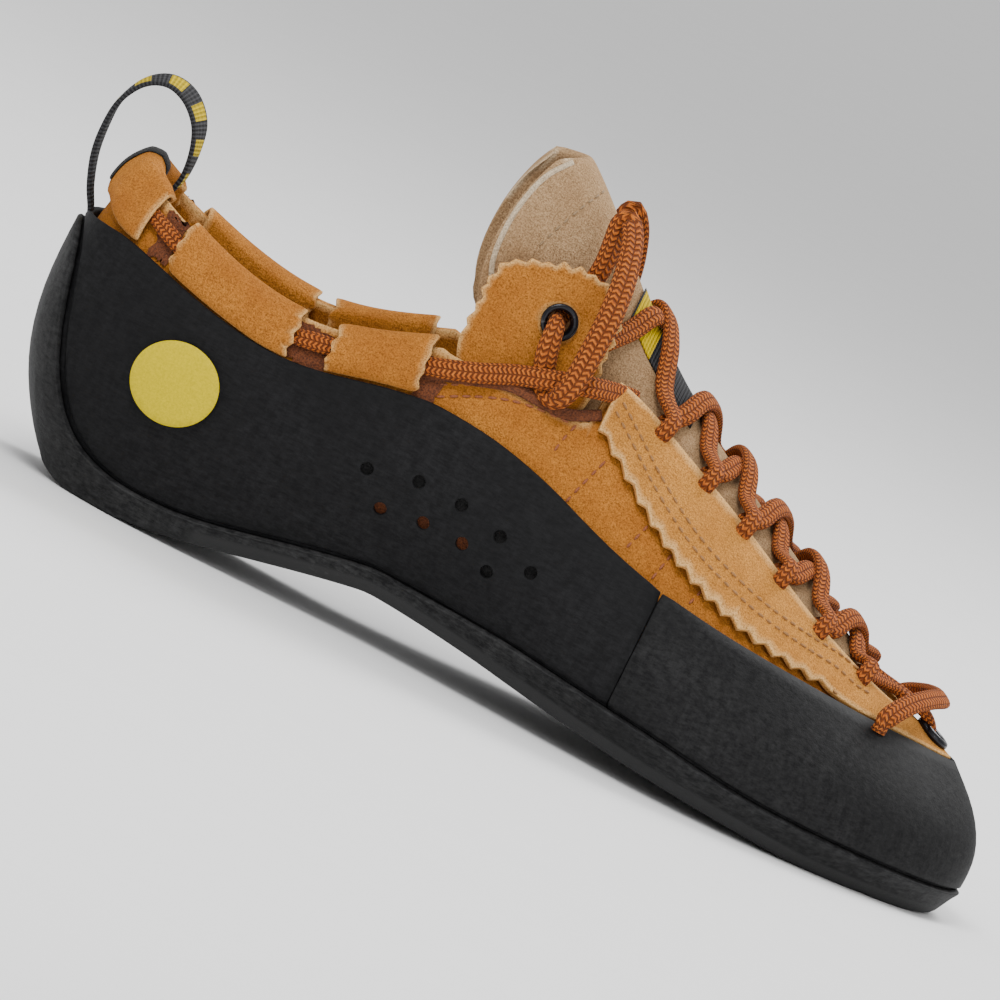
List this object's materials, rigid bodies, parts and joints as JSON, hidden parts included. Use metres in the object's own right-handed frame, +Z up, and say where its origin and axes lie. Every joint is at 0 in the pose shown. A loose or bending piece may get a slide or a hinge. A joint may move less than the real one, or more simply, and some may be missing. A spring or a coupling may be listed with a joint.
{
  "type": "climbing shoe",
  "caption": "Lace-up climbing shoe for the right foot with a suede upper, a rubber sole and rand, a padded tongue and a heel pull loop.",
  "frame": {"origin": "on the floor, in the middle of the flat spot under the heel", "axes": "+X from the heel towards the toes, +Z up, -Y towards the outer side of the foot"},
  "size_m": [0.2547, 0.0909, 0.121],
  "materials": {
    "suede": "golden tan brushed suede",
    "suede_pale": "paler tan brushed suede",
    "suede_beige": "beige brushed suede over padding",
    "rubber": "matt black climbing rubber with fine scuffs",
    "insole_felt": "dark felted board",
    "webbing": "black woven tape with yellow dashes",
    "lace_cord": "rust brown flat oval braid",
    "eyelet_metal": "black gloss enamel on a rolled metal ring",
    "badge_yellow": "plain yellow print"
  },
  "bodies": {
    "root": {"upper": "suede", "outsole": "rubber", "insole": "insole_felt", "rear_rand": "rubber", "toe_rand": "rubber", "eyestay": "suede_pale", "tongue": "suede_beige", "tongue_label": "webbing", "collar_heel": "suede", "collar_lateral_rear": "suede", "collar_lateral_front": "suede", "collar_medial_rear": "suede", "collar_medial_front": "suede", "heel_tape": "webbing", "tab_lateral": "suede", "tab_medial": "suede", "eyelet_lateral": "eyelet_metal", "eyelet_medial": "eyelet_metal", "eyelet_toe": "eyelet_metal", "badge": "badge_yellow", "pull_loop": "webbing", "lace_over": "lace_cord", "lace_under": "lace_cord", "lace_toe": "lace_cord", "lace_collar": "lace_cord", "lace_loop_lateral": "lace_cord", "lace_loop_medial": "lace_cord"}
  },
  "joints": []
}
